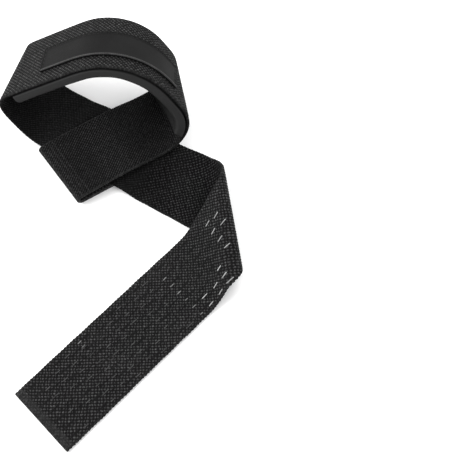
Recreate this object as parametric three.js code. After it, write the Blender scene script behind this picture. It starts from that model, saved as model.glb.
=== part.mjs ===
import * as THREE from "three";

// Padded lifting strap, millimetres, +Z up, lying on the floor at z = 0.
// One strip of webbing runs from a cut end under the small end loop, round the end fold, over
// the top of the end loop, up and round the padded wrist loop, back down through the end loop,
// round a soft fold and out along the tail.

// Webbing
const webbing_width = 38.5;
const webbing_thickness = 2;
const layer_gap = 0.4;
const edge_round = 0.5;
const bend_easing = 4;

// Lie of the crossing piece, seen from above, degrees from the X axis
const crossing_heading = -31;

// Lengths along the webbing
const crossing_to_loop = 38;
const loop_length = 172;
const end_loop_length = 56.2;
const under_layer_length = 62;
const under_closing_length = 6;
const end_loop_bulge = 1;
const hold_down_length = 14;
const drape_length = 16;
const end_fold_radius = 1.9;
const end_fold_slant = 0.07;
const crossing_to_fold = 47;
const tail_length = 100.5;
const tail_end_slant = 0.05;

// Distance from the loop's middle to the point where its straight lines would meet
const cone_reach = 185;
const cone_middle_share = 0.49;

// Soft fold between the crossing piece and the tail
const fold_low_radius = 10.6;
const fold_high_radius = 2.7;
const fold_settle_length = 12.6;
const fold_descent = 15.6;

// Wrist pad, inside the arch
const pad_thickness = 5;
const pad_length = 120.5;
const pad_overhang = 0.8;
const pad_round = 1.6;
const pad_shift = 18.7;

// Label patch, outside the arch
const label_length = 77;
const label_width = 17.5;
const label_thickness = 0.8;
const label_shift = 14;
const label_offset = 2.6;

// Wrist loop, from the crossing piece round to the end loop; share is of the loop's length
const loop_rows = [
  { name: "lower left sweep", share: 0.205, turn: 46 },
  { name: "left bend", share: 0.05, turn: 103 },
  { name: "left slope", share: 0.225, turn: 0 },
  { name: "arch", share: 0.285, turn: 81 },
  { name: "right slope", share: 0.055, turn: 0 },
  { name: "right bend", share: 0.15, turn: 116 },
  { name: "lower right rise", share: 0.03, turn: 6 },
];

// Soft fold; skew is the slant of the bend lines across the strip, sway is in-plane turning
const fold_rows = [
  { name: "lower curve", radius: fold_low_radius, turn: 113.4, skew_from: 51.5, skew_to: 44, sway: -13.3 },
  { name: "upper curve", radius: fold_high_radius, turn: 106, skew_from: 44, skew_to: 46.3, sway: 5.4 },
];
const settle_turn = -39.6;
const settle_skew = 25.7;

const radians = THREE.MathUtils.degToRad;
const MARCH_STEP = 0.5;
const STATION_STEP = 6;
const STATION_TURN = radians(9);
const half_width = webbing_width / 2;
const half_thickness = webbing_thickness / 2;
const layer_pitch = webbing_thickness + layer_gap;

const clamp01 = (x) => Math.min(1, Math.max(0, x));
const ease = (x) => clamp01(x) ** 2 * (3 - 2 * clamp01(x));
const mix = (a, b, t) => a + (b - a) * t;

// Value of a broken line through (xs, ys) at x
function along(xs, ys, x) {
  if (x <= xs[0]) return ys[0];
  for (let i = 1; i < xs.length; i += 1) {
    if (x <= xs[i]) return mix(ys[i - 1], ys[i], (x - xs[i - 1]) / (xs[i] - xs[i - 1] || 1));
  }
  return ys[ys.length - 1];
}

// Marches a strip's centreline and frame through rows of (length, turn, skew, sway).
// direction is +1 toward the tail and -1 toward the loop.
function march(start, rows, direction) {
  const knots = [0];
  const turned = [0];
  const swayed = [0];
  for (const row of rows) {
    knots.push(knots.at(-1) + row.length);
    turned.push(turned.at(-1) + radians(row.turn ?? 0));
    swayed.push(swayed.at(-1) + radians(row.sway ?? 0));
  }
  const total = knots.at(-1);
  const slant = (u) => {
    const i = Math.min(rows.length - 1, Math.max(0, knots.findIndex((k) => k > u) - 1));
    const row = rows[u >= total ? rows.length - 1 : i];
    const from = knots[rows.indexOf(row)];
    return mix(row.slant_from, row.slant_to, clamp01((u - from) / row.length));
  };
  const rate = (sums, u) =>
    (along(knots, sums, u + bend_easing) - along(knots, sums, u - bend_easing)) / (2 * bend_easing);
  const count = Math.ceil(total / MARCH_STEP);
  const step = total / count;
  const stations = [];
  let place = start.place.clone();
  let frame = start.frame.clone();
  for (let i = 0; i <= count; i += 1) {
    const u = i * step;
    stations.push({ u: u * direction, place: place.clone(), frame: frame.clone(), slant: slant(u) });
    if (i === count) break;
    const mid = u + step / 2;
    const s = slant(mid);
    const curve = rate(turned, mid) / Math.hypot(1, s);
    const spin = new THREE.Vector3(curve * s, rate(swayed, mid), curve);
    const angle = spin.length() * step * direction;
    const before = new THREE.Vector3(1, 0, 0).applyQuaternion(frame);
    if (spin.length() > 1e-9) {
      frame = frame.clone().multiply(new THREE.Quaternion().setFromAxisAngle(spin.normalize(), angle));
    }
    const after = new THREE.Vector3(1, 0, 0).applyQuaternion(frame);
    place = place.clone().addScaledVector(before.add(after), (step / 2) * direction);
  }
  return stations;
}

const normalOf = (station) => new THREE.Vector3(0, 1, 0).applyQuaternion(station.frame);
const forwardOf = (station) => new THREE.Vector3(1, 0, 0).applyQuaternion(station.frame);
const acrossOf = (station) => new THREE.Vector3(0, 0, 1).applyQuaternion(station.frame);

// Newton solver; limits hold the size of each unknown's step
function solve(f, first, limits) {
  let x = first.slice();
  for (let round = 0; round < 30; round += 1) {
    const y = f(x);
    const table = y.map((value) => [value]);
    limits.forEach((limit, i) => {
      const moved = x.slice();
      moved[i] += limit / 100;
      f(moved).forEach((value, k) => table[k].splice(i, 0, (value - y[k]) / (limit / 100)));
    });
    for (let i = 0; i < y.length; i += 1) {
      const best = table.slice(i).reduce((p, row) => (Math.abs(row[i]) > Math.abs(p[i]) ? row : p));
      table.splice(table.indexOf(best), 1);
      table.splice(i, 0, best);
      for (const row of table) {
        if (row === best) continue;
        const share = row[i] / best[i];
        best.forEach((value, k) => {
          row[k] -= share * value;
        });
      }
    }
    const change = table.map((row, i) => row.at(-1) / row[i]);
    const hold = Math.max(1, ...change.map((value, i) => Math.abs(value) / limits[i]));
    x = x.map((value, i) => value - change[i] / hold);
    if (Math.hypot(...change) < 1e-7) break;
  }
  return x;
}

// Middle of the crossing piece: forward is toward the tail, the normal is up
const heading = radians(crossing_heading);
const startFrame = new THREE.Quaternion().setFromRotationMatrix(
  new THREE.Matrix4().makeBasis(
    new THREE.Vector3(Math.cos(heading), Math.sin(heading), 0),
    new THREE.Vector3(0, 0, 1),
    new THREE.Vector3(Math.sin(heading), -Math.cos(heading), 0),
  ),
);
const crossing_height = half_thickness + layer_pitch;
const cone_middle = crossing_to_loop + loop_length * cone_middle_share;
const start = { place: new THREE.Vector3(0, 0, crossing_height), frame: startFrame };

// Wrist loop, with its two bends set so that its end lies flat again over the crossing piece
function loopRows(leftTurn, rightTurn) {
  const rows = [{ length: crossing_to_loop, turn: 0 }];
  for (const row of loop_rows) {
    let { turn } = row;
    if (row.name === "left bend") turn = leftTurn;
    if (row.name === "right bend") turn = rightTurn;
    rows.push({ length: row.share * loop_length, turn });
  }
  rows.push({ length: end_loop_length, turn: 0 });
  let u = 0;
  for (const row of rows) {
    row.slant_from = (cone_middle - u) / cone_reach;
    u += row.length;
    row.slant_to = (cone_middle - u) / cone_reach;
  }
  rows.at(-1).slant_to = end_fold_slant;
  return rows;
}
const rowNamed = (rows, name) => rows.find((row) => row.name === name);
const loop_end = crossing_to_loop + loop_length;
const solvedLoop = solve(
  (turns) => {
    const stations = march(start, loopRows(...turns), -1);
    const landed = stations.find((s) => -s.u >= loop_end + bend_easing);
    return [normalOf(landed).x * 100, landed.place.z - start.place.z];
  },
  [rowNamed(loop_rows, "left bend").turn, rowNamed(loop_rows, "right bend").turn],
  [8, 8],
);
const loopStations = march(start, loopRows(...solvedLoop), -1);

// Tail, with the fold's upper curve and its settling bend set so that it ends flat on the floor
function foldLength(row) {
  const slant = Math.tan(radians((row.skew_from + row.skew_to) / 2));
  return row.radius * radians(row.turn) * Math.hypot(1, slant);
}
function tailRows(upperTurn, descent, settleSkew) {
  const settleSlant = Math.tan(radians(settleSkew));
  const firstSlant = cone_middle / cone_reach;
  const foldSlant = Math.tan(radians(fold_rows[0].skew_from));
  const rows = [{ length: crossing_to_fold, slant_from: firstSlant, slant_to: foldSlant }];
  for (const row of fold_rows) {
    rows.push({
      length: foldLength(row),
      turn: row.name === "upper curve" ? upperTurn : row.turn,
      slant_from: Math.tan(radians(row.skew_from)),
      slant_to: Math.tan(radians(row.skew_to)),
      sway: row.sway,
    });
  }
  const settled = { slant_from: settleSlant, slant_to: settleSlant };
  rows.push({ length: descent, slant_from: rows.at(-1).slant_to, slant_to: settleSlant });
  rows.push({ length: fold_settle_length, turn: settle_turn, ...settled });
  rows.push({ length: tail_length, slant_from: settleSlant, slant_to: tail_end_slant });
  return rows;
}
const solvedTail = solve(
  ([upperTurn, descent, settleSkew]) => {
    const stations = march(start, tailRows(upperTurn, descent, settleSkew), 1);
    const end = stations.at(-1);
    const normal = normalOf(end);
    return [normal.x * 100, normal.y * 100, end.place.z - crossing_height];
  },
  [rowNamed(fold_rows, "upper curve").turn, fold_descent, settle_skew],
  [8, 3, 8],
);
const tailRowsSolved = tailRows(...solvedTail);
const tailStations = march(start, tailRowsSolved, 1);
const fold_end = crossing_to_fold + tailRowsSolved[1].length + tailRowsSolved[2].length;

// Lines seen from above: middle of the end loop and middle of the crossing piece
const topEnd = loopStations.at(-1);
function lineThrough(station) {
  const forward = forwardOf(station);
  const side = new THREE.Vector3(forward.y, -forward.x, 0).normalize();
  return (point) => point.clone().sub(station.place).dot(side);
}
const fromEndLoop = lineThrough(topEnd);
const fromCrossing = lineThrough(loopStations[0]);

// How far each stretch is lifted or lowered so that the layers lie on each other and on the floor
const top_end_height = half_thickness + 2 * end_fold_radius;
function liftOffEndLoop(point) {
  return -layer_pitch * ease((Math.abs(fromEndLoop(point)) - half_width - layer_gap) / drape_length);
}
function liftOfTail(station, point) {
  const lowered = ease((station.u - crossing_to_fold) / (fold_end - crossing_to_fold) / 0.6);
  return Math.min(liftOffEndLoop(point), -layer_pitch * lowered);
}
function liftOfLoop(station, point) {
  const u = -station.u;
  const rise = ease((u - crossing_to_loop) / (0.8 * loop_length));
  const lowered = liftOffEndLoop(point) * (1 - ease((u - crossing_to_loop) / (0.5 * loop_length)));
  const outside = Math.abs(fromEndLoop(point)) - half_width - 1;
  const held = (1 - ease(outside / hold_down_length)) * (1 - ease((u / crossing_to_loop - 1) / 2));
  const hold = held * (crossing_height - point.z);
  const over = ease((half_width + drape_length * 0.7 + fromCrossing(point)) / (drape_length * 0.7));
  const bulge = end_loop_bulge * Math.sin(Math.PI * clamp01((u - loop_end) / end_loop_length));
  const landed = mix(top_end_height - crossing_height, layer_pitch, over) + bulge;
  if (u > loop_end) return mix(layer_pitch, landed, ease((u - loop_end) / 12));
  return hold + lowered + layer_pitch * rise;
}

// A point of the strip's middle surface and its normal, w across from the middle
function strandPoint(station, lift, w) {
  const point = station.place
    .clone()
    .addScaledVector(acrossOf(station), w)
    .addScaledVector(forwardOf(station), w * station.slant);
  point.z += lift(station, point);
  return { point, normal: normalOf(station) };
}
const loopAt = (station, w) => strandPoint(station, liftOfLoop, w);
const tailAt = (station, w) => strandPoint(station, liftOfTail, w);

// Under layer: the end loop's top layer again, set down by the height of what lies between
function underAt(station, w) {
  const { point, normal } = loopAt(station, w);
  const beyond = ease((-fromCrossing(point) - half_width - 2) / under_closing_length);
  point.z = mix(half_thickness, point.z - layer_pitch / normal.z, beyond);
  return { point, normal: normal.clone().negate() };
}

// End fold: a half turn from the under layer to the top layer
function endFoldAt(angle, w) {
  const { point, normal } = loopAt(topEnd, w);
  const radius = (point.z - half_thickness) / 2;
  const back = forwardOf(topEnd).negate();
  const outward = normal
    .clone()
    .multiplyScalar(Math.cos(angle))
    .addScaledVector(back, Math.sin(angle));
  point.addScaledVector(normal, -radius).addScaledVector(outward, radius);
  return { point, normal: outward };
}

// Picks stations so that the strip turns a little at each step and no step is long
function thinned(stations, from, to) {
  const inside = stations.filter((s) => Math.abs(s.u) > from - 1e-6 && Math.abs(s.u) < to + 1e-6);
  const kept = [inside[0]];
  let turn = 0;
  for (let i = 1; i + 1 < inside.length; i += 1) {
    turn += inside[i].frame.angleTo(inside[i - 1].frame);
    const far = Math.abs(inside[i].u - kept.at(-1).u);
    if (far < STATION_STEP && turn < STATION_TURN) continue;
    turn = 0;
    kept.push(inside[i]);
  }
  const left = Math.abs(inside.at(-1).u - kept.at(-1).u);
  if (left < 1 && kept.length > 1) kept.pop();
  kept.push(inside.at(-1));
  return kept;
}

// Closed body from rings of points, each ring in the same sense
function bodyFromRings(rings) {
  const positions = [];
  const indices = [];
  const count = rings[0].length;
  for (const point of rings.flat()) positions.push(point.x, point.y, point.z);
  for (let i = 0; i + 1 < rings.length; i += 1) {
    for (let j = 0; j < count; j += 1) {
      const a = i * count + j;
      const b = i * count + ((j + 1) % count);
      indices.push(a, b, b + count, a, b + count, a + count);
    }
  }
  for (const end of [0, rings.length - 1]) {
    const ring = rings[end];
    const middle = ring.reduce((sum, point) => sum.add(point), new THREE.Vector3());
    middle.divideScalar(count);
    positions.push(middle.x, middle.y, middle.z);
    const centre = positions.length / 3 - 1;
    for (let j = 0; j < count; j += 1) {
      const a = end * count + j;
      const b = end * count + ((j + 1) % count);
      indices.push(...(end === 0 ? [centre, b, a] : [centre, a, b]));
    }
  }
  const geometry = new THREE.BufferGeometry();
  geometry.setAttribute("position", new THREE.Float32BufferAttribute(positions, 3));
  geometry.setIndex(indices);
  if (volumeOf(geometry) < 0) geometry.setIndex(indices.reverse());
  return geometry;
}
function volumeOf(geometry) {
  const place = geometry.attributes.position;
  const at = (k) => new THREE.Vector3().fromBufferAttribute(place, geometry.index.getX(k));
  let sum = 0;
  for (let k = 0; k < geometry.index.count; k += 3) sum += at(k).cross(at(k + 1)).dot(at(k + 2));
  return sum / 6;
}

// Webbing: one closed strip with softly rounded long edges
const COLUMNS = 8;
const flat_half = half_width - edge_round;
const columns = Array.from({ length: COLUMNS + 1 }, (_, i) => mix(-flat_half, flat_half, i / COLUMNS));
function webbingRing(at) {
  const ring = [];
  const put = (w, rise) => {
    const { point, normal } = at(w);
    ring.push(point.addScaledVector(normal, rise));
  };
  for (const w of columns) put(w, half_thickness);
  put(half_width, 0);
  for (const w of columns.toReversed()) put(w, -half_thickness);
  put(-half_width, 0);
  return ring;
}
const rings = [];
const under_start = loop_end + end_loop_length - under_layer_length;
for (const station of thinned(loopStations, under_start, loop_end + end_loop_length - 0.1)) {
  rings.push(webbingRing((w) => underAt(station, w)));
}
const FOLD_STEPS = 8;
for (let k = 0; k <= FOLD_STEPS; k += 1) {
  rings.push(webbingRing((w) => endFoldAt(Math.PI * (1 - k / FOLD_STEPS), w)));
}
const loopKept = thinned(loopStations, 0, loop_end + end_loop_length - 0.1).reverse();
for (const station of loopKept) rings.push(webbingRing((w) => loopAt(station, w)));
for (const station of thinned(tailStations, 1, tailStations.at(-1).u)) {
  rings.push(webbingRing((w) => tailAt(station, w)));
}

// A point of the loop's middle surface from flat measures: u along from the crossing, w across
function flatAt(u, w) {
  const slip = (station) => -station.u - w * station.slant;
  let low = 0;
  let high = loopStations.length - 1;
  while (high - low > 1) {
    const middle = (low + high) >> 1;
    if (slip(loopStations[middle]) <= u) low = middle;
    else high = middle;
  }
  const a = loopAt(loopStations[low], w);
  const b = loopAt(loopStations[high], w);
  const from = slip(loopStations[low]);
  const t = clamp01((u - from) / (slip(loopStations[high]) - from));
  return { point: a.point.lerp(b.point, t), normal: a.normal.lerp(b.normal, t).normalize() };
}

// A sewn-on layer: its section (w, rise) at each u, rise along the loop's inward normal
function layerBody(us, sectionAt) {
  return bodyFromRings(
    us.map((u) =>
      sectionAt(u).map(([w, rise]) => {
        const { point, normal } = flatAt(u, w);
        return point.addScaledVector(normal, rise);
      }),
    ),
  );
}
function spread(from, to, step) {
  const count = Math.ceil((to - from) / step);
  return Array.from({ length: count + 1 }, (_, i) => mix(from, to, i / count));
}

// Wrist pad
const loop_middle = crossing_to_loop + loop_length / 2;
const pad_near = half_thickness + layer_gap;
const pad_half = half_width + pad_overhang;
const pad_from = loop_middle + pad_shift - pad_length / 2;
const pad_to = pad_from + pad_length;
function padSection(u) {
  const inset = Math.min(u - pad_from, pad_to - u);
  const drop = inset >= pad_round ? 0 : 1 - Math.sqrt(1 - (1 - inset / pad_round) ** 2);
  const far = pad_near + pad_thickness - drop * pad_round * 1.2;
  const section = [];
  const corner = (w, rise, round, from) => {
    for (let k = 0; k <= 3; k += 1) {
      const angle = from + (k / 3) * (Math.PI / 2);
      section.push([w + round * Math.cos(angle), rise + round * Math.sin(angle)]);
    }
  };
  const outer = pad_round * 0.4;
  const inner = pad_round;
  corner(pad_half - outer, pad_near + outer, outer, -Math.PI / 2);
  corner(pad_half - inner, far - inner, inner, 0);
  for (const share of [0.6, 0.2, -0.2, -0.6]) section.push([share * pad_half, far]);
  corner(-pad_half + inner, far - inner, inner, Math.PI / 2);
  corner(-pad_half + outer, pad_near + outer, outer, Math.PI);
  for (const share of [-0.6, -0.2, 0.2, 0.6]) section.push([share * pad_half, pad_near]);
  return section;
}
const padStations = [
  ...spread(pad_from, pad_from + pad_round, pad_round / 3),
  ...spread(pad_from + pad_round, pad_to - pad_round, 2.5).slice(1),
  ...spread(pad_to - pad_round, pad_to, pad_round / 3).slice(1),
];
const padBody = layerBody(padStations, padSection);

// Label patch
const label_near = -half_thickness - layer_gap;
const label_from = loop_middle + label_shift - label_length / 2;
function labelSection() {
  const half = label_width / 2;
  const soft = label_thickness * 0.4;
  const far = label_near - label_thickness;
  const section = [];
  for (const share of [-1, -0.5, 0, 0.5, 1]) section.push([share * half, label_near]);
  section.push([half, far + soft]);
  for (const share of [1, 0.5, 0, -0.5, -1]) section.push([share * (half - soft), far]);
  section.push([-half, far + soft]);
  return section.map(([w, rise]) => [w + label_offset, rise]);
}
const labelBody = layerBody(spread(label_from, label_from + label_length, 2.5), labelSection);

// Assembly, with its origin at the middle of the footprint
const part = new THREE.Group();
part.name = "lifting_strap";
function add(name, geometry, color, roughness) {
  const material = new THREE.MeshStandardMaterial({ color, roughness, metalness: 0 });
  const mesh = new THREE.Mesh(geometry, material);
  mesh.name = name;
  part.add(mesh);
}
add("webbing", bodyFromRings(rings), 0x1d1d1f, 0.9);
add("wrist_pad", padBody, 0x3c3c3e, 0.8);
add("label_patch", labelBody, 0x2a2a2c, 0.7);
const box = new THREE.Box3().setFromObject(part);
const middle = box.getCenter(new THREE.Vector3());
for (const mesh of part.children) {
  mesh.geometry.translate(-middle.x, -middle.y, -box.min.z);
  mesh.geometry.computeVertexNormals();
}

export default part;
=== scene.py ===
import math
import random

import bmesh
import bpy
import numpy as np
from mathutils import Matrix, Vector


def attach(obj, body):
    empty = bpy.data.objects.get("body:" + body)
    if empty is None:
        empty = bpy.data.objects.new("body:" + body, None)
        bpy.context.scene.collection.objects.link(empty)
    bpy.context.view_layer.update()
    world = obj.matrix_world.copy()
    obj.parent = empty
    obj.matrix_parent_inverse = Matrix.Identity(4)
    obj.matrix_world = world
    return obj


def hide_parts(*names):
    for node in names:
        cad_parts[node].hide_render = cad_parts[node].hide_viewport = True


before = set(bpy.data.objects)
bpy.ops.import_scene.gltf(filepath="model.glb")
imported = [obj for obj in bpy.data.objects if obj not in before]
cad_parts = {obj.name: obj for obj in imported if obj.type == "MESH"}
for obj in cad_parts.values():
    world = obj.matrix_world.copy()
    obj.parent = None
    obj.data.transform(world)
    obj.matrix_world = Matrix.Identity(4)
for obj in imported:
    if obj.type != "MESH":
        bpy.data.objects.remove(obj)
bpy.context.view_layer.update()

MM = 0.001
random.seed(7)

# Sizes in mm, angles in degrees. On the flat strip, u is the length from the middle of the
# crossing piece, below 0 in the loop and above 0 in the tail, and w is the distance across.
WIDTH = 38.5
THICK = 2.0
GAP = 0.4
HALF = WIDTH / 2
PITCH = THICK + GAP
HEADING = -31
BEND_EASING = 4.0
MARCH_STEP = 0.5
CROSS_Z = THICK / 2 + PITCH

# Where the middle of the crossing piece lies in the frame, whose origin is the footprint's middle
CROSSING_AT = np.array([2.636, 49.126, 0.0])

# Wrist loop and end loop; the turns of the two bends are first guesses that are then solved
TO_LOOP = 38.0
LOOP = 172.0
LOOP_END = TO_LOOP + LOOP
LEFT_BEND = 103
RIGHT_BEND = 116
END_LOOP = 56.2
END_FOLD = -(LOOP_END + END_LOOP)
END_RADIUS = 1.9
TOP_END_Z = THICK / 2 + 2 * END_RADIUS
END_SLANT = 0.07
UNDER = 62.0
UNDER_CLOSING = 6.0
BULGE = 1.0
LANDING = 12.0
HOLD_DOWN = 14.0
DRAPE = 16.0
OVER_DRAPE = DRAPE * 0.7

# The bend lines all point at one far place, as on a cone
CONE_REACH = 185.0
CONE_MIDDLE = TO_LOOP + 0.49 * LOOP

# Soft fold and tail; the high turn, the descent and the settle skew are first guesses
TO_FOLD = 47.0
FOLD_SKEWS = (51.5, 44, 46.3)
LOW_RADIUS = 10.6
LOW_TURN = 113.4
LOW_SWAY = -13.3
HIGH_RADIUS = 2.7
HIGH_TURN = 106
HIGH_SWAY = 5.4
DESCENT = 15.6
SETTLE = 12.6
SETTLE_TURN = -39.6
SETTLE_SKEW = 25.7
TAIL = 100.5
TAIL_SLANT = 0.05


def tan(degrees):
    return math.tan(math.radians(degrees))


def ease(x):
    x = np.clip(x, 0, 1)
    return x * x * (3 - 2 * x)


def rotations(spins):
    """matrices of rotation vectors"""
    angle = np.maximum(np.linalg.norm(spins, axis=1), 1e-12)
    x, y, z = (spins / angle[:, None]).T
    zero = np.zeros_like(x)
    cross = np.array([[zero, -z, y], [z, zero, -x], [-y, x, zero]]).transpose(2, 0, 1)
    sine = np.sin(angle)[:, None, None]
    cosine = np.cos(angle)[:, None, None]
    return np.eye(3) + sine * cross + (1 - cosine) * (cross @ cross)


def march(rows, direction):
    """rows of (length, turn, slant from, slant to, sway); direction is 1 toward the tail.
    Gives u, frame, place and slant of each station; a frame's columns point forward, out of
    the inner face and across"""
    lengths, turns, slants_from, slants_to, sways = np.array(rows, float).T
    knots, turned, swayed = (
        np.concatenate([[0], np.cumsum(parts)])
        for parts in (lengths, np.radians(turns), np.radians(sways))
    )
    count = math.ceil(knots[-1] / MARCH_STEP)
    step = knots[-1] / count

    def slant(u):
        row = np.clip(np.searchsorted(knots, u, side="right") - 1, 0, len(rows) - 1)
        share = np.clip((u - knots[row]) / lengths[row], 0, 1)
        return slants_from[row] + (slants_to[row] - slants_from[row]) * share

    def rate(sums, u):
        ahead = np.interp(u + BEND_EASING, knots, sums)
        behind = np.interp(u - BEND_EASING, knots, sums)
        return (ahead - behind) / (2 * BEND_EASING)

    mid = (np.arange(count) + 0.5) * step
    mid_slant = slant(mid)
    curve = rate(turned, mid) / np.hypot(1, mid_slant)
    spins = np.stack([curve * mid_slant, rate(swayed, mid), curve], 1) * (step * direction)
    steps = rotations(spins)
    c = math.cos(math.radians(HEADING))
    s = math.sin(math.radians(HEADING))
    frames = np.empty((count + 1, 3, 3))
    frames[0] = [[c, 0, s], [s, 0, -c], [0, 1, 0]]
    for i in range(count):
        frames[i + 1] = frames[i] @ steps[i]
    forward = frames[:, :, 0]
    moves = (forward[:-1] + forward[1:]) / 2 * step * direction
    places = np.empty((count + 1, 3))
    places[0] = (0, 0, CROSS_Z)
    places[1:] = places[0] + np.cumsum(moves, 0)
    u = np.arange(count + 1) * step
    return u, frames, places, slant(u)


def solve(f, first, limits):
    """Newton's method for f = 0; limits hold the size of each unknown's step"""
    x = np.array(first, float)
    limits = np.array(limits, float)
    for _ in range(30):
        y = np.array(f(x))
        table = np.empty((len(y), len(x)))
        for i, limit in enumerate(limits):
            moved = x.copy()
            moved[i] += limit / 100
            table[:, i] = (np.array(f(moved)) - y) / (limit / 100)
        change = np.linalg.solve(table, y)
        x = x - change / max(1, np.max(np.abs(change) / limits))
        if np.linalg.norm(change) < 1e-7:
            break
    return x


def loop_rows(left_bend, right_bend):
    """from the crossing piece through the wrist loop to the end fold"""
    shares = [
        (0.205, 46),
        (0.05, left_bend),
        (0.225, 0),
        (0.285, 81),
        (0.055, 0),
        (0.15, right_bend),
        (0.03, 6),
    ]
    parts = [(TO_LOOP, 0)] + [(share * LOOP, turn) for share, turn in shares] + [(END_LOOP, 0)]
    rows = []
    u = 0.0
    for length, turn in parts:
        slant_from = (CONE_MIDDLE - u) / CONE_REACH
        u += length
        rows.append([length, turn, slant_from, (CONE_MIDDLE - u) / CONE_REACH, 0])
    rows[-1][3] = END_SLANT
    return rows


def loop_misses(bends):
    """how far the strip is from lying flat and level where the loop has closed"""
    us, frames, places, _ = march(loop_rows(*bends), -1)
    landed = np.argmax(us >= LOOP_END + BEND_EASING)
    return frames[landed][0, 1] * 100, places[landed][2] - CROSS_Z


def fold_length(radius, turn, skew_from, skew_to):
    return radius * math.radians(turn) * math.hypot(1, tan((skew_from + skew_to) / 2))


LOW_CURVE = fold_length(LOW_RADIUS, LOW_TURN, *FOLD_SKEWS[:2])
HIGH_CURVE = fold_length(HIGH_RADIUS, HIGH_TURN, *FOLD_SKEWS[1:])


def tail_rows(high_turn, descent, settle_skew):
    """from the crossing piece over the soft fold to the tail's end"""
    first, middle, last = (tan(skew) for skew in FOLD_SKEWS)
    settled = tan(settle_skew)
    return [
        (TO_FOLD, 0, CONE_MIDDLE / CONE_REACH, first, 0),
        (LOW_CURVE, LOW_TURN, first, middle, LOW_SWAY),
        (HIGH_CURVE, high_turn, middle, last, HIGH_SWAY),
        (descent, 0, last, settled, 0),
        (SETTLE, SETTLE_TURN, settled, settled, 0),
        (TAIL, 0, settled, TAIL_SLANT, 0),
    ]


def tail_misses(unknowns):
    """how far the tail's end is from lying flat and level"""
    _, frames, places, _ = march(tail_rows(*unknowns), 1)
    return frames[-1][0, 1] * 100, frames[-1][1, 1] * 100, places[-1][2] - CROSS_Z


loop = march(loop_rows(*solve(loop_misses, (LEFT_BEND, RIGHT_BEND), (8, 8))), -1)
tail = march(tail_rows(*solve(tail_misses, (HIGH_TURN, DESCENT, SETTLE_SKEW), (8, 3, 8))), 1)
TAIL_END = float(tail[0][-1])


def line_through(station):
    """distance of points from the loop's middle line at a station, seen from above"""
    forward = loop[1][station][:, 0]
    sideways = np.array([forward[1], -forward[0], 0.0])
    sideways /= np.linalg.norm(sideways)
    return lambda points: (points - loop[2][station]) @ sideways


from_end_loop = line_through(-1)
from_crossing = line_through(0)


def off_end_loop(points):
    """move down to the floor's level beside the end loop"""
    return -PITCH * ease((np.abs(from_end_loop(points)) - HALF - GAP) / DRAPE)


def loop_lift(u, points):
    """move up or down of the loop's run, so that its layers lie on one another"""
    rise = PITCH * ease((u - TO_LOOP) / (0.8 * LOOP))
    lowered = off_end_loop(points) * (1 - ease((u - TO_LOOP) / (0.5 * LOOP)))
    outside = np.abs(from_end_loop(points)) - HALF - 1
    held = (1 - ease(outside / HOLD_DOWN)) * (1 - ease((u / TO_LOOP - 1) / 2))
    hold = held * (CROSS_Z - points[..., 2])
    over = ease((HALF + OVER_DRAPE + from_crossing(points)) / OVER_DRAPE)
    bulge = BULGE * np.sin(np.pi * np.clip((u - LOOP_END) / END_LOOP, 0, 1))
    landed = (TOP_END_Z - CROSS_Z) * (1 - over) + PITCH * over + bulge
    end = PITCH + (landed - PITCH) * ease((u - LOOP_END) / LANDING)
    return np.where(u > LOOP_END, end, hold + lowered + rise)


def tail_lift(u, points):
    """move down of the tail's run, off the end loop and onto the floor by way of the fold"""
    lowered = ease((u - TO_FOLD) / (LOW_CURVE + HIGH_CURVE) / 0.6)
    return np.minimum(off_end_loop(points), -PITCH * lowered)


def strand(run, lift, ws):
    """points and normals of a run's stations at each w"""
    us, frames, places, slants = run
    across = frames[:, None, :, 2]
    forward = frames[:, None, :, 0]
    points = places[:, None] + ws[None, :, None] * (across + slants[:, None, None] * forward)
    points[..., 2] += lift(np.broadcast_to(us[:, None], points.shape[:2]), points)
    normals = np.broadcast_to(frames[:, None, :, 1], points.shape)
    return points, normals


def flat_grid(us, ws):
    """middle surface and normal at flat coordinates; us has a column for each w or only one"""
    loop_points, loop_normals = strand(loop, loop_lift, ws)
    tail_points, tail_normals = strand(tail, tail_lift, ws)
    known_points = np.concatenate([loop_points[::-1], tail_points[1:]])
    known_normals = np.concatenate([loop_normals[::-1], tail_normals[1:]])
    base = np.concatenate([-loop[0][::-1], tail[0][1:]])
    slants = np.concatenate([loop[3][::-1], tail[3][1:]])
    points = np.empty((len(us), len(ws), 3))
    normals = np.empty_like(points)
    for j, w in enumerate(ws):
        slip = np.maximum.accumulate(base + w * slants + np.arange(len(base)) * 1e-9)
        at = us[:, j] if us.ndim == 2 else us
        for k in range(3):
            points[:, j, k] = np.interp(at, slip, known_points[:, j, k])
            normals[:, j, k] = np.interp(at, slip, known_normals[:, j, k])
    normals /= np.linalg.norm(normals, axis=2)[..., None]
    return points, normals


# Meshes
def mesh_object(name, points, faces, materials, uv, face_materials=None):
    """a smooth object from points in mm around the crossing's middle; uv is one (u, w) a point"""
    verts = (np.asarray(points, float).reshape(-1, 3) + CROSSING_AT) * MM
    mesh = bpy.data.meshes.new(name)
    mesh.from_pydata(verts.tolist(), [], faces)
    for m in materials:
        mesh.materials.append(m)
    if face_materials is not None:
        mesh.polygons.foreach_set("material_index", np.asarray(face_materials, np.int32))
    corners = np.empty(len(mesh.loops), np.int32)
    mesh.loops.foreach_get("vertex_index", corners)
    layer = mesh.uv_layers.new(name="flat")
    layer.data.foreach_set("uv", np.asarray(uv, float)[corners].ravel())
    mesh.polygons.foreach_set("use_smooth", np.ones(len(mesh.polygons), bool))
    mesh.update()
    obj = bpy.data.objects.new(name, mesh)
    bpy.context.scene.collection.objects.link(obj)
    bm = bmesh.new()
    bm.from_mesh(mesh)
    bmesh.ops.recalc_face_normals(bm, faces=bm.faces)
    bm.to_mesh(mesh)
    bm.free()
    return obj


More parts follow.
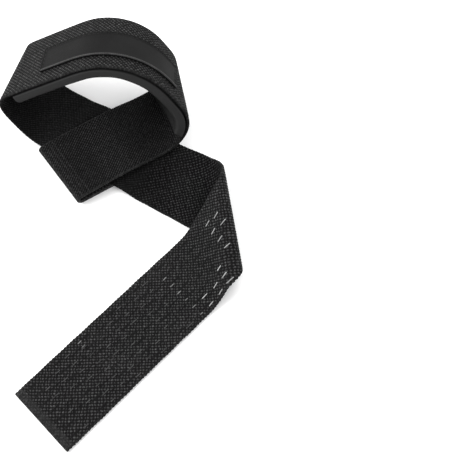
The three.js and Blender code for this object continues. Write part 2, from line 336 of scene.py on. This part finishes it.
def tube_faces(rows, columns):
    """quads between the rings of a tube, then one face over each end"""
    i, j = np.meshgrid(np.arange(rows - 1), np.arange(columns), indexing="ij")
    a = i * columns + j
    b = i * columns + (j + 1) % columns
    quads = np.stack([a, b, b + columns, a + columns], -1).reshape(-1, 4).tolist()
    last = (rows - 1) * columns
    return quads + [list(range(columns))[::-1], list(range(last, last + columns))]


# Webbing: section points as (w, side), where side is 1 on the inner face and -1 on the outer
INNER_COLUMNS = 28
OUTER_COLUMNS = 54
FACE_INSET = 0.5
EDGE_INSET = 0.12
EDGE_SIDE = 0.55
face_half = HALF - FACE_INSET
edge_points = [(HALF - EDGE_INSET, EDGE_SIDE), (HALF, 0.0), (HALF - EDGE_INSET, -EDGE_SIDE)]
ring = [(w, 1.0) for w in np.linspace(-face_half, face_half, INNER_COLUMNS)]
ring += edge_points
ring += [(w, -1.0) for w in np.linspace(face_half, -face_half, OUTER_COLUMNS)]
ring += [(-w, -side) for w, side in edge_points]
ws, sides = np.array(ring).T
on_face = np.abs(sides) > 0.9
RIGHT_EDGE = INNER_COLUMNS + 1
LEFT_EDGE = -2

# The weave: its knots stand over a face that lies a little inside the webbing's thickness
FACE_LEVEL = THICK / 2 - 0.12
KNOT_PITCH = 2.1
KNOT_HEIGHT = 0.17
RIB_PITCH = 1.41
RIB_HEIGHT = 0.05
INNER_KNOT_HEIGHT = 0.08
RIDGES_FROM_FOLD = (2.4, 4.6, 6.8)
RIDGE_HEIGHT = 0.34
RIDGE_WIDTH = 0.55
SCALLOP_PITCH = 1.85
SCALLOP = 0.08
TAIL_SCALLOP = 0.17
SEAL_FROM = TAIL_END - 4.2
SEAL_STEP_FROM = TAIL_END - 4.4
SEAL_FLATTENS = 0.85
SEAL_DROP = 0.18
CUT_TURN = 30


def edge_scallop(u):
    """loops of the woven edge, out from the straight line; they stand out more on the tail"""
    wander = 1.3 * np.sin(u / 6.3) + 0.9 * np.sin(u / 17.0)
    size = SCALLOP + TAIL_SCALLOP * ease((u - 40) / 30)
    loops = size * np.cos(2 * np.pi * u / SCALLOP_PITCH + wander)
    return loops + 0.08 * np.sin(u / 2.3) + 0.05 * np.sin(u / 9.1)


def knots_at(u, w):
    return np.cos(2 * np.pi * u / KNOT_PITCH) * np.cos(2 * np.pi * w / KNOT_PITCH)


def relief(u, w, side):
    """height of the weave over the face: flat at the edges and on the sealed tail end, with
    ridges beside the end fold"""
    outer = KNOT_HEIGHT * knots_at(u, w)
    inner = RIB_HEIGHT * np.cos(2 * np.pi * w / RIB_PITCH)
    inner = inner + INNER_KNOT_HEIGHT * ease((u - 6) / 14) * knots_at(u, w)
    h = np.where(side < 0, outer, inner)
    h = h * np.clip(HALF - 1.0 - np.abs(w), 0, 1)
    h = h * (1 - SEAL_FLATTENS * ease((u - SEAL_FROM) / 0.8))
    h = h - SEAL_DROP * ease((u - SEAL_STEP_FROM) / 0.6)
    for distance in RIDGES_FROM_FOLD:
        ridge = RIDGE_HEIGHT * np.exp(-(((u - END_FOLD - distance) / RIDGE_WIDTH) ** 2))
        h = h + np.where(side > 0, ridge, 0)
    return h


def skewed(us):
    """flat u of each point of rows that turn to follow the slanted cut at either end"""
    first = END_SLANT * (1 - ease((us - END_FOLD) / CUT_TURN))
    last = TAIL_SLANT * ease((us - TAIL_END + CUT_TURN) / CUT_TURN)
    return us[:, None] + ws[None, :] * (first + last)[:, None]


ROW_STEP = 0.6
row_us = np.linspace(END_FOLD + 0.05, TAIL_END - 0.02, int((TAIL_END - END_FOLD) / ROW_STEP))
main_us = skewed(row_us)
middle, normals = flat_grid(main_us, ws)
weave = np.where(on_face, relief(main_us, ws[None, :], sides[None, :]), 0)
main = middle + normals * (sides * FACE_LEVEL + np.sign(sides) * weave)[..., None]
across = middle[:, RIGHT_EDGE] - middle[:, LEFT_EDGE]
across /= np.linalg.norm(across, axis=1)[:, None]
scallop = ~on_face * np.sign(ws) * edge_scallop(main_us[:, :1]) * (1 - np.abs(sides) * 0.5)
main += across[:, None] * scallop[..., None]

# The end fold is a half turn of the main run's first row
FOLD_STEPS = 12
top_middle = middle[0]
top_normal = normals[0]
radius = (top_middle[:, 2:3] - THICK / 2) / 2
outward_at_end = -loop[1][-1][:, 0]
fold_rings = []
fold_us = []
for k in range(1, FOLD_STEPS + 1):
    angle = math.pi * k / FOLD_STEPS
    outward = top_normal * math.cos(angle) + outward_at_end * math.sin(angle)
    us = row_us[0] - radius[:, 0] * angle
    weave = np.where(on_face, relief(us, ws, sides), 0)
    level = (sides * FACE_LEVEL + np.sign(sides) * weave)[:, None]
    fold_rings.append(top_middle - top_normal * radius + outward * radius + outward * level)
    fold_us.append(us)

# The under layer is the same run again, set down to the floor
UNDER_STEP = 1.4
FOLD_LENGTH = 12
run_us = np.arange(row_us[0] + UNDER_STEP, row_us[0] + UNDER - 1, UNDER_STEP)
under_middle, under_normals = flat_grid(skewed(run_us), ws)
beyond = ease((-from_crossing(under_middle) - HALF - 2) / UNDER_CLOSING)
closed_up = under_middle[..., 2] - PITCH / under_normals[..., 2]
under_middle[..., 2] = THICK / 2 * (1 - beyond) + closed_up * beyond
under = under_middle - under_normals * (sides * FACE_LEVEL)[None, :, None]
under_us = 2 * row_us[0] - FOLD_LENGTH - run_us

rings = np.concatenate([under[::-1], np.array(fold_rings)[::-1], main])
ring_us = np.concatenate([
    np.repeat(under_us[::-1, None], len(ws), 1),
    np.array(fold_us)[::-1],
    np.repeat(row_us[:, None], len(ws), 1),
])
INNER, OUTER = 0, 1
webbing_faces = tube_faces(len(rings), len(ws))
face_column = np.where(np.sign(sides + np.roll(sides, -1)) > 0, INNER, OUTER)
webbing_face_materials = np.tile(face_column, len(rings) - 1).tolist() + [OUTER, OUTER]
webbing_uv = np.stack([ring_us.ravel(), np.tile(ws, len(rings))], -1)

# The middle surface on a regular grid, so that small pieces can be set in flat coordinates
GRID_STEP = 0.5
GRID_HALF = 22
grid_us = np.arange(END_FOLD, TAIL_END, GRID_STEP)
grid_ws = np.linspace(-GRID_HALF, GRID_HALF, int(2 * GRID_HALF / GRID_STEP) + 1)
grid_points, grid_normals = flat_grid(grid_us, grid_ws)


def wrap(flat):
    """points given as (u, w, height over the middle surface) set on the strip"""
    flat = np.asarray(flat, float)
    at_u = np.clip((flat[..., 0] - grid_us[0]) / GRID_STEP, 0, len(grid_us) - 1.001)
    at_w = np.clip((flat[..., 1] - grid_ws[0]) / GRID_STEP, 0, len(grid_ws) - 1.001)
    i, j = at_u.astype(int), at_w.astype(int)
    a, b = (at_u - i)[..., None], (at_w - j)[..., None]

    def between(grid):
        low = grid[i, j] * (1 - b) + grid[i, j + 1] * b
        high = grid[i + 1, j] * (1 - b) + grid[i + 1, j + 1] * b
        return low * (1 - a) + high * a

    return between(grid_points) + between(grid_normals) * flat[..., 2:3]


# A small bar's layers, from its base up: size and height, each as a share
BAR_SIDES = 10
BAR_LAYERS = ((1.0, 0.0), (1.0, 0.45), (0.78, 0.85), (0.35, 1.0))


def small_bars(bars):
    """rounded bars in flat coordinates, from (u, w, length, width, base, top, angle)"""
    blocks = []
    faces = []
    bar_faces = tube_faces(len(BAR_LAYERS), BAR_SIDES)
    around = np.arange(BAR_SIDES) / BAR_SIDES * 2 * np.pi
    x_round, y_round = np.cos(around), np.sin(around)
    x_side = np.sign(x_round + 1e-9)
    for u, w, length, width, base, top, angle in bars:
        straight = max(0.0, length / 2 - width / 2)
        c, s = math.cos(angle), math.sin(angle)
        first = len(blocks) * len(BAR_LAYERS) * BAR_SIDES
        layers = []
        for size, level in BAR_LAYERS:
            x = x_round * width / 2 * size + x_side * straight * (0.4 + 0.6 * size)
            y = y_round * width / 2 * size
            height = np.full(BAR_SIDES, base + (top - base) * level)
            layers.append(np.stack([u + x * c - y * s, w + x * s + y * c, height], -1))
        blocks.append(np.concatenate(layers))
        faces += [[first + n for n in face] for face in bar_faces]
    points = np.concatenate(blocks)
    return points, faces, points[:, :2]


# Materials
def grey(v, warm=0.0):
    return (v * (1 + warm), v, v * (1 - warm), 1)


class Tree:
    """a material's nodes; the calls that work something out give back an output"""

    def __init__(self, name):
        self.material = bpy.data.materials.new(name)
        self.material.use_nodes = True
        self.nodes = self.material.node_tree.nodes
        self.links = self.material.node_tree.links
        self.nodes.clear()
        out = self.nodes.new("ShaderNodeOutputMaterial")
        self.shader = self.nodes.new("ShaderNodeBsdfPrincipled")
        self.links.new(self.shader.outputs["BSDF"], out.inputs["Surface"])

    def plug(self, socket, value):
        if hasattr(value, "is_output"):
            self.links.new(value, socket)
        else:
            socket.default_value = value

    def node(self, kind, inputs, output=0, **settings):
        node = self.nodes.new(kind)
        for key, value in settings.items():
            setattr(node, key, value)
        for key, value in inputs.items():
            self.plug(node.inputs[key], value)
        return node.outputs[output]

    def shade_with(self, **inputs):
        for key, value in inputs.items():
            self.plug(self.shader.inputs[key.replace("_", " ")], value)

    def math(self, operation, a, b=0.0, c=0.0):
        return self.node("ShaderNodeMath", {0: a, 1: b, 2: c}, operation=operation)

    def add(self, a, b):
        return self.math("ADD", a, b)

    def subtract(self, a, b):
        return self.math("SUBTRACT", a, b)

    def times(self, a, b):
        return self.math("MULTIPLY", a, b)

    def times_add(self, a, b, c):
        return self.math("MULTIPLY_ADD", a, b, c)

    def fade(self, a, share):
        return self.times(a, self.subtract(1.0, share))

    def remap(self, x, low, high, out_low=0.0, out_high=1.0):
        inputs = {"Value": x, "From Min": low, "From Max": high, "To Min": out_low, "To Max": out_high}
        return self.node("ShaderNodeMapRange", inputs, interpolation_type="SMOOTHSTEP")

    def flat(self):
        """the flat coordinates as a vector, u and w"""
        vector = self.node("ShaderNodeUVMap", {}, uv_map="flat")
        u, w = (self.node("ShaderNodeSeparateXYZ", {0: vector}, axis) for axis in ("X", "Y"))
        return vector, u, w

    def place(self):
        return self.node("ShaderNodeTexCoord", {}, "Object")

    def noise(self, vector, scale, detail=3.0, rough=0.55):
        inputs = {"Vector": vector, "Scale": scale, "Detail": detail, "Roughness": rough}
        return self.node("ShaderNodeTexNoise", inputs)

    def wave(self, x, pitch, phase=0.0):
        return self.math("COSINE", self.times_add(x, 2 * math.pi / pitch, phase))

    def mix(self, share, a, b):
        return self.node("ShaderNodeMix", {0: share, 6: a, 7: b}, 2, data_type="RGBA")

    def bump(self, height, distance, strength, normal=None):
        inputs = {"Height": height, "Distance": distance, "Strength": strength}
        if normal is not None:
            inputs["Normal"] = normal
        return self.node("ShaderNodeBump", inputs)


# Pitches of the webbing's colour pattern, along u and across w
MOTIF_U = 8.6
MOTIF_W = 5.25

# How far the yarns wander in mm, the shares of light on the rims (on the end loop's rim a painted highlight)
# and the depths of the bumps in m
YARN_SWAY = 0.25
STRAY = 1.9
RIM_LIGHT = 0.3
END_LOOP_PAINTED_HIGHLIGHT = 0.95
WEAVE_BUMP = 0.00034
FIBRE_BUMP = 0.00006


def yarns(t, w, fuzz, pitch):
    return t.wave(t.add(w, t.times(fuzz, YARN_SWAY)), pitch)


def outer_weave(t, u, w, end, fuzz):
    """light knots with grooves between them on the tail; gives dots, height and motif"""
    dots = t.remap(t.times(t.wave(u, KNOT_PITCH), t.wave(w, KNOT_PITCH)), -0.15, 0.8)
    motif = t.times(t.wave(u, MOTIF_U, 1.2), t.wave(w, MOTIF_W, 2.4))
    height = t.add(t.times(dots, 0.8), t.times(yarns(t, w, fuzz, 0.35), 0.16))
    odd, even = (
        t.times(
            t.remap(t.wave(u, 2 * MOTIF_U), 0.25 * sign, 0.5 * sign),
            t.remap(t.wave(w, MOTIF_W), 0.86 * sign, 0.96 * sign),
        )
        for sign in (1, -1)
    )
    groove = t.times(t.add(odd, even), t.remap(u, 70, 100, 0.0, 0.85))
    # the sealed end band is real and flattened; its lighter grey is a painted sheen of the melted yarn
    sealed = t.times(t.remap(end, TAIL_END - 4.6, TAIL_END - 3.9), 0.7)
    dots = t.fade(t.fade(dots, groove), sealed)
    return t.times_add(sealed, 0.42, dots), height, motif


def inner_weave(t, u, w, end, fuzz):
    """fine slanting ribs that open into knots past the crossing piece, and the ridges beside
    the end fold; gives dots, height and motif"""
    along = t.add(t.times(u, 0.62), t.times(w, 0.785))
    athwart = t.subtract(t.times(u, 0.785), t.times(w, 0.62))
    ribs = t.remap(t.add(t.wave(along, 1.15), t.times(t.wave(athwart, 1.5), 0.6)), -0.7, 1.5)
    knots = t.remap(t.times(t.wave(u, KNOT_PITCH), t.wave(w, KNOT_PITCH)), -0.1, 0.8)
    opened = t.remap(end, 6, 20)
    dots = t.add(t.fade(ribs, opened), t.times(knots, opened))
    from_fold = t.subtract(end, END_FOLD)
    ridges = t.times(t.remap(t.wave(from_fold, 2.2, -0.57), 0.1, 0.9), t.remap(from_fold, 6.4, 5.2))
    dots = t.times_add(ridges, 0.35, dots)
    height = t.add(dots, t.times(yarns(t, w, fuzz, 0.4), 0.12))
    return dots, height, t.wave(u, 40.0)


def webbing_material(name, weave, low, high, shaded):
    """low and high are the greys of the gaps and of the yarns; shaded is the strength of painted shade that
    darkens the crossing piece under the arch
    """
    t = Tree(name)
    vector, u, w = t.flat()
    end = u
    fuzz = t.noise(vector, scale=1.6, detail=4.0, rough=0.6)
    blotch = t.noise(vector, scale=0.05, detail=2.0)
    clumps = t.noise(vector, scale=0.42, detail=3.0, rough=0.7)
    rim = t.remap(t.math("ABSOLUTE", w), HALF - 1.1, HALF - 0.5, 0.0, 0.75)
    stray = t.times(t.subtract(t.noise(vector, scale=0.5, detail=2.0), 0.5), STRAY)
    u = t.add(u, stray)
    w = t.subtract(w, t.times(stray, 0.8))
    dots, height, motif = weave(t, u, w, end, fuzz)
    # painted highlight: the end loop's rims are made lighter than the other rims
    on_end_loop = t.remap(end, -LOOP_END + 6, -LOOP_END - 6)
    rim_light = t.remap(on_end_loop, 0.0, 1.0, RIM_LIGHT, END_LOOP_PAINTED_HIGHLIGHT)
    dots = t.times_add(rim, rim_light, t.fade(dots, rim))
    if shaded:
        # painted shade on the crossing piece, where the arch above keeps light off it
        crossing = t.times(t.remap(end, -110, -70), t.remap(end, 22, 4))
        dots = t.fade(dots, t.times(crossing, shaded))
    shade = t.times(dots, t.remap(fuzz, 0.3, 0.7, 0.35, 1.0))
    shade = t.times(shade, t.remap(clumps, 0.3, 0.7, 0.45, 1.0))
    shade = t.times(shade, t.remap(motif, -0.4, 0.8, 0.72, 1.0))
    worn = t.times(t.remap(blotch, 0.45, 0.75), t.remap(fuzz, 0.5, 0.8))
    colour = t.mix(shade, grey(low), grey(high))
    colour = t.mix(t.times(worn, 0.35), colour, grey(high * 1.9, 0.02))
    normal = t.bump(height, WEAVE_BUMP, 1.0)
    normal = t.bump(t.noise(vector, scale=5.0, detail=3.0), FIBRE_BUMP, 0.7, normal)
    t.shade_with(
        Base_Color=colour,
        Normal=normal,
        Roughness=0.78,
        Specular_IOR_Level=t.remap(shade, 0.0, 0.6, 0.03, 0.2),
        Sheen_Weight=0.02,
        Sheen_Roughness=0.5,
        Sheen_Tint=(0.5, 0.5, 0.52, 1),
    )
    return t.material


def plain_material(name, low, high, rough, scale, bump, shine=0.4, yarn_pitch=None, rim=None):
    """blotchy greys from low to high; rim is the w and the grey of lighter edges, a painted highlight where
    a rounded edge turns to the light
    """
    t = Tree(name)
    vector = t.place()
    grain = t.noise(vector, scale, detail=4.0, rough=0.6)
    patches = t.noise(vector, scale * 0.08, detail=2.0)
    shade = t.add(t.times(grain, 0.5), t.times(patches, 0.5))
    colour = t.mix(t.remap(shade, 0.3, 0.7), grey(low), grey(high))
    if rim:
        # painted highlight: lighter grey past this w, on the rounded edge
        edge_w, edge_grey = rim
        at = t.math("ABSOLUTE", t.flat()[2])
        colour = t.mix(t.remap(at, edge_w, edge_w + 1.4), colour, grey(edge_grey))
    height = grain
    if yarn_pitch:
        height = t.add(t.times(grain, 0.5), t.times(t.wave(t.flat()[1], yarn_pitch), 0.5))
    t.shade_with(
        Base_Color=colour,
        Normal=t.bump(height, bump, 0.8),
        Roughness=t.remap(grain, 0.2, 0.8, rough - 0.06, rough + 0.06),
        Specular_IOR_Level=shine,
    )
    return t.material


def thread_material(name, low, high, shine, rough=0.6, scale=2500):
    return plain_material(name, low, high, rough, scale, 0.00004, shine)


PAD_HALF = HALF + 0.8
PAD_ROUND = 1.6
inner_mat = webbing_material("webbing_inner_weave", inner_weave, 0.0018, 0.036, shaded=0.45)
outer_mat = webbing_material("webbing_outer_weave", outer_weave, 0.0052, 0.082, shaded=0)
# painted highlight on the pad's rounded edges
pad_edge_painted_highlight = (PAD_HALF - PAD_ROUND, 0.019)
foam_mat = plain_material("pad_foam", 0.008, 0.013, 0.7, 900, 0.00008, 0.08, rim=pad_edge_painted_highlight)
label_mat = plain_material("patch_weave", 0.0050, 0.0076, 0.6, 1200, 0.00005, 0.05, yarn_pitch=0.5)
stitch_mat = thread_material("sewing_thread", 0.0045, 0.010, shine=0.1)
cord_mat = thread_material("edge_thread", 0.018, 0.050, shine=0.2)
grip_mat = thread_material("grip_dash", 0.11, 0.36, shine=0.3, rough=0.5, scale=1500)
dull_mat = thread_material("dull_dash", 0.010, 0.060, shine=0.2, scale=1500)
worn_mat = thread_material("worn_dash", 0.05, 0.20, shine=0.2, scale=1500)
floor_mat = plain_material("floor_paper", 0.94, 0.96, 0.9, 300, 0.00001)

# Floor, made first because the cloth rests on it
bpy.ops.mesh.primitive_plane_add(size=6, location=(0, 0, 0))
floor = bpy.context.object
floor.name = "floor"
floor.data.materials.append(floor_mat)

webbing = mesh_object(
    "webbing_cloth", rings, webbing_faces, [inner_mat, outer_mat], webbing_uv, webbing_face_materials
)
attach(webbing, "root")
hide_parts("webbing")

# Wrist pad, on the loop's inner face
PAD_FROM = -202.95
PAD_TO = -82.45
PAD_NEAR = 1.4
PAD_THICK = 5.0
NEAR_ROUND = PAD_ROUND * 0.4


def pad_section(inset):
    """(w, height) round the pad's section, inset mm from its nearer end"""
    drop = 1 - math.sqrt(max(0.0, 1 - (1 - min(1.0, inset / PAD_ROUND)) ** 2))
    far = PAD_NEAR + PAD_THICK - drop * PAD_ROUND * 1.2
    half = PAD_HALF - drop * 0.5
    near_half = half - NEAR_ROUND
    far_half = half - PAD_ROUND

    def corner(w, height, r, quarter):
        angles = (quarter + np.arange(7) / 6) * np.pi / 2
        return np.stack([w + r * np.cos(angles), height + r * np.sin(angles)], -1)

    def flat_side(first_w, height, number):
        return np.stack([np.linspace(first_w, -first_w, number), np.full(number, height)], -1)

    return np.concatenate([
        corner(near_half, PAD_NEAR + NEAR_ROUND, NEAR_ROUND, -1),
        corner(far_half, far - PAD_ROUND, PAD_ROUND, 0),
        flat_side(far_half - 1, far, 30),
        corner(-far_half, far - PAD_ROUND, PAD_ROUND, 1),
        corner(-near_half, PAD_NEAR + NEAR_ROUND, NEAR_ROUND, 2),
        flat_side(1 - near_half, PAD_NEAR, 12),
    ])


def spaced(low, high, insets, inner_inset, number):
    """positions from low to high, close together at both ends and even between them"""
    insets = np.array(insets)
    between = np.linspace(low + inner_inset, high - inner_inset, number)
    return np.concatenate([low + insets, between, high - insets[::-1]])


pad_flat = []
for u in spaced(PAD_FROM, PAD_TO, (0, 0.15, 0.4, 0.75, 1.15, 1.6), 2.4, 110):
    w, height = pad_section(min(u - PAD_FROM, PAD_TO - u)).T
    soft = 0.10 * np.sin(u / 6.1 + w / 7.3) + 0.07 * np.sin(u / 2.7 - w / 4.1)
    pad_flat.append(np.stack([np.full(len(w), u), w, height + np.where(height > PAD_NEAR + 3, soft, 0)], -1))
pad_flat = np.array(pad_flat)
pad_faces = tube_faces(*pad_flat.shape[:2])
pad = mesh_object("wrist_pad_foam", wrap(pad_flat), pad_faces, [foam_mat], pad_flat.reshape(-1, 3)[:, :2])
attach(pad, "root")
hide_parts("wrist_pad")

# Label patch: a thin plate on the loop's outer face, with a raised hem round it
LABEL_FROM = -176.5
LABEL_TO = -99.5
LABEL_W = 2.6
LABEL_HALF = 8.75
LABEL_BACK = -1.15
LABEL_EDGE = 1.25
LABEL_RISE = 0.75
HEM_INSET = 0.55
HEM_HEIGHT = 0.42
HEM_WIDTH = 0.42
LABEL_INSETS = (0, 0.15, 0.3, 0.5, 0.75, 1.0)


def label_height(u, w):
    """the patch's outer surface; heights on the outer face are below 0"""
    inset = np.minimum(np.minimum(u - LABEL_FROM, LABEL_TO - u), LABEL_HALF - np.abs(w - LABEL_W))
    hem = HEM_HEIGHT * np.exp(-(((inset - HEM_INSET) / HEM_WIDTH) ** 2))
    return -(LABEL_EDGE + LABEL_RISE * np.clip(inset / 0.25, 0, 1) ** 0.5 + hem)


us, across_ws = np.meshgrid(
    spaced(LABEL_FROM, LABEL_TO, LABEL_INSETS, 1.6, 90),
    spaced(LABEL_W - LABEL_HALF, LABEL_W + LABEL_HALF, LABEL_INSETS, 1.6, 20),
    indexing="ij",
)
rows, columns = us.shape
back = rows * columns
front_points = np.stack([us, across_ws, label_height(us, across_ws)], -1).reshape(-1, 3)
back_points = np.stack([us, across_ws, np.full(us.shape, LABEL_BACK)], -1).reshape(-1, 3)
label_points = np.concatenate([front_points, back_points])
label_faces = []
for i in range(rows - 1):
    for j in range(columns - 1):
        a = i * columns + j
        label_faces.append((a, a + 1, a + columns + 1, a + columns))
        b = a + back
        label_faces.append((b, b + columns, b + columns + 1, b + 1))
rim = [i * columns for i in range(rows)]
rim += [(rows - 1) * columns + j for j in range(1, columns)]
rim += [i * columns + columns - 1 for i in range(rows - 2, -1, -1)]
rim += list(range(columns - 2, 0, -1))
for a, b in zip(rim, rim[1:] + rim[:1]):
    label_faces.append((a, b, b + back, a + back))
label = mesh_object("label_patch_cloth", wrap(label_points), label_faces, [label_mat], label_points[:, :2])
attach(label, "root")
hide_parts("label_patch")

# Stitching: rows from one (u, w) to another at a height over the middle surface
STITCH_WIDTH = 0.5
STITCH_SHARE = 0.78
STITCH_STRAY = 0.08
STITCH_SUNK = 0.05
STITCH_HEIGHT = 0.2
left_u, right_u = LABEL_FROM + 1.4, LABEL_TO - 1.4
low_w, high_w = -4.8, 10.0
PAD_ROW_HALF = 17.5
pad_row_us = (-85.4, -199.5)
box = [(-223.6, -3.0), (-214.4, 2.5), (-219.6, 11.5), (-228.8, 6.5)]
stitch_rows = [
    ((left_u, low_w), (right_u, low_w), -2.0, 2.6),
    ((left_u, low_w), (left_u, high_w), -2.0, 2.6),
    ((right_u, low_w), (right_u, high_w), -2.0, 2.6),
]
stitch_rows += [((u, -PAD_ROW_HALF), (u, PAD_ROW_HALF), -1.0, 2.4) for u in pad_row_us]
stitch_rows += [(box[i], box[j], 1.0, 1.8) for i, j in ((0, 1), (1, 2), (2, 3), (3, 0), (0, 2), (1, 3))]
stitches = []
for (u_from, w_from), (u_to, w_to), level, pitch in stitch_rows:
    number = int(math.hypot(u_to - u_from, w_to - w_from) / pitch)
    angle = math.atan2(w_to - w_from, u_to - u_from)
    outward = math.copysign(1, level)
    for k in range(number):
        share = (k + 0.5) / number
        u = u_from + (u_to - u_from) * share + random.uniform(-STITCH_STRAY, STITCH_STRAY)
        w = w_from + (w_to - w_from) * share + random.uniform(-STITCH_STRAY, STITCH_STRAY)
        tilt = angle + random.uniform(-0.06, 0.06)
        base = level - outward * STITCH_SUNK
        top = level + outward * STITCH_HEIGHT
        stitches.append((u, w, pitch * STITCH_SHARE, STITCH_WIDTH, base, top, tilt))
points, faces, uv = small_bars(stitches)
thread = mesh_object("stitching", wrap(points), faces, [stitch_mat], uv)
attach(thread, "root")

# Corded edge along the front side of the label
CORD_INSET = 0.6
CORD_PITCH = 0.95
TURN_LENGTH = 1.5
TURN_WIDTH = 0.62
TURN_BASE = -1.9
TURN_TOP = -2.55
TURN_TILT = 0.55
cord_w = LABEL_W + LABEL_HALF - 0.35
cord_turns = []
for u in np.arange(LABEL_FROM + CORD_INSET, LABEL_TO - CORD_INSET, CORD_PITCH):
    tilt = TURN_TILT + random.uniform(-0.1, 0.1)
    cord_turns.append((u, cord_w, TURN_LENGTH, TURN_WIDTH, TURN_BASE, TURN_TOP, tilt))
points, faces, uv = small_bars(cord_turns)
cord = mesh_object("label_cord", wrap(points), faces, [cord_mat], uv)
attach(cord, "root")

# Dashes woven into the tail's outer face, in rows across: u of the row, its slope, each w
bright_rows = [
    (81.6, 0.1, (-8.6, -3.2)),
    (88.6, 0.17, (-10.5, -5.0, 0.8, 5.7)),
    (98.8, 0.2, (9.4, 14.0, 17.6)),
    (106.6, 0.15, (12.8, 17.4)),
    (114.8, 0.15, (11.6, 16.9)),
]
worn_rows = [
    (123.6, 0.03, (-9.5, -4.3, 0.9, 6.1, 11.4, 16.7)),
    (175.0, 0.0, (-15.6, -12.8)),
]
DULL_FROM = 132.2
DULL_TO = TAIL_END - 8
DULL_FIRST_W = -14.7
DULL_SHIFT = 2.6
DULL_SHARE = 0.7
dull_rows = []
for n, u in enumerate(np.arange(DULL_FROM, DULL_TO, MOTIF_U)):
    possible = np.arange(DULL_FIRST_W + DULL_SHIFT * (n % 2), HALF, MOTIF_W)
    dull_rows.append((u, 0.0, [w for w in possible if random.random() < DULL_SHARE]))
DASH_WIDTH = 0.45
DASH_BASE = -0.95
DASH_MARGIN = 1.2


def dash_piece(name, dash_rows, mat, length, top):
    bars = []
    for row_u, slope, row_ws in dash_rows:
        for w in row_ws:
            if abs(w) < HALF - DASH_MARGIN:
                u = row_u + slope * w + random.uniform(-0.15, 0.15)
                long = length * random.uniform(0.8, 1.1)
                bars.append((u, w, long, DASH_WIDTH, DASH_BASE, top, random.uniform(-0.05, 0.05)))
    points, faces, uv = small_bars(bars)
    obj = mesh_object(name, wrap(points), faces, [mat], uv)
    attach(obj, "root")


dash_piece("grip_dashes", bright_rows, grip_mat, 3.7, -1.32)
dash_piece("worn_dashes", worn_rows, worn_mat, 2.4, -1.26)
dash_piece("dull_dashes", dull_rows, dull_mat, 3.2, -1.22)


# Light, from the left, the back and the right front, and from a white surrounding
def area_light(name, place, size, power):
    """a rectangle at a place in metres that faces the strap"""
    data = bpy.data.lights.new(name, "AREA")
    data.shape = "RECTANGLE"
    data.size, data.size_y = size
    data.energy = power
    obj = bpy.data.objects.new(name, data)
    bpy.context.scene.collection.objects.link(obj)
    obj.location = place
    obj.rotation_euler = (-Vector(place)).to_track_quat("-Z", "Y").to_euler()


area_light("key_light", (-1.0, 0.25, 0.75), (1.1, 1.1), 26)
area_light("back_light", (0.5, 1.2, 0.7), (0.8, 0.4), 12)
area_light("fill_light", (0.9, -0.6, 1.2), (0.8, 0.8), 7)
world = bpy.data.worlds.new("studio")
bpy.context.scene.world = world
world.use_nodes = True
background = world.node_tree.nodes["Background"]
background.inputs["Color"].default_value = (1, 1, 1, 1)
background.inputs["Strength"].default_value = 0.95

# Camera, from the front
ELEVATION = math.radians(63)
DISTANCE = 0.525
LENS = 79.2
aim = Vector((0.0594, 0.0031, 0.0))
camera_data = bpy.data.cameras.new("camera")
camera_data.sensor_width = 36
camera_data.lens = LENS
camera_data.clip_start = 0.01
camera = bpy.data.objects.new("camera", camera_data)
bpy.context.scene.collection.objects.link(camera)
camera.location = aim + Vector((0, -math.cos(ELEVATION), math.sin(ELEVATION))) * DISTANCE
camera.rotation_euler = (math.pi / 2 - ELEVATION, 0, 0)
bpy.context.scene.camera = camera
bpy.context.scene.view_settings.view_transform = "Standard"
